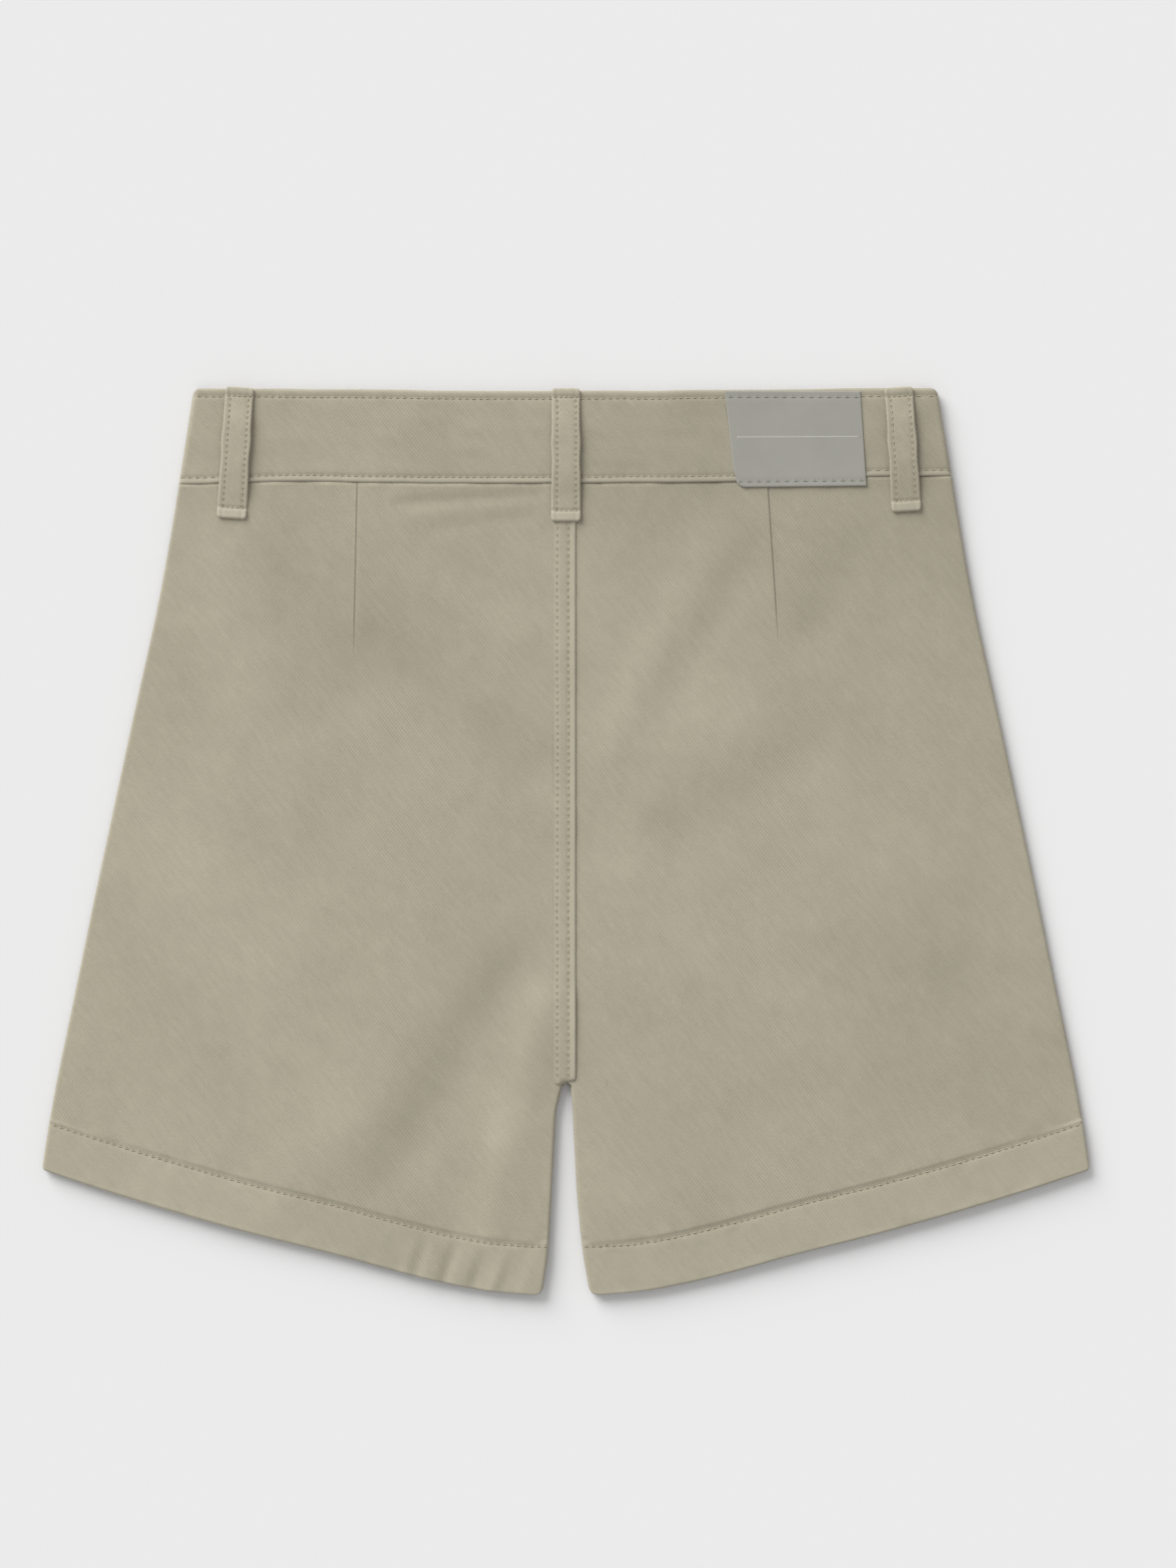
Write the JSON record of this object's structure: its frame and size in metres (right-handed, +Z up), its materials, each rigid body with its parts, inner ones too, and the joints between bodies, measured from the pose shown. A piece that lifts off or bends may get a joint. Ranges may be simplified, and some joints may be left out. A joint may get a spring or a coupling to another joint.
{
  "type": "skort laid flat",
  "caption": "High-waisted cotton twill skort laid face down: shorts back on top, front legs and vented front skirt beneath, waistband with belt loops and a bare patch.",
  "frame": {"origin": "bottom centre of the bounding box, on the surface that the garment lies on", "axes": "+X across the garment to the viewer's right, +Y from the hems towards the waist, +Z up off the surface, out of the back of the garment"},
  "size_m": [0.4618, 0.4004, 0.0089],
  "materials": {
    "twill": "matt khaki-beige cotton twill, lightly washed, paler along seams and folds",
    "patch": "smooth matt grey coated patch, bare, stitched along its edges"
  },
  "bodies": {
    "root": {"skirt_left": "twill", "skirt_right": "twill", "front_left": "twill", "front_right": "twill", "back_left": "twill", "back_right": "twill", "front_waistband": "twill", "back_waistband": "twill", "centre_back_fell": "twill", "loop_left": "twill", "loop_centre": "twill", "loop_right": "twill", "label": "patch"}
  },
  "joints": []
}
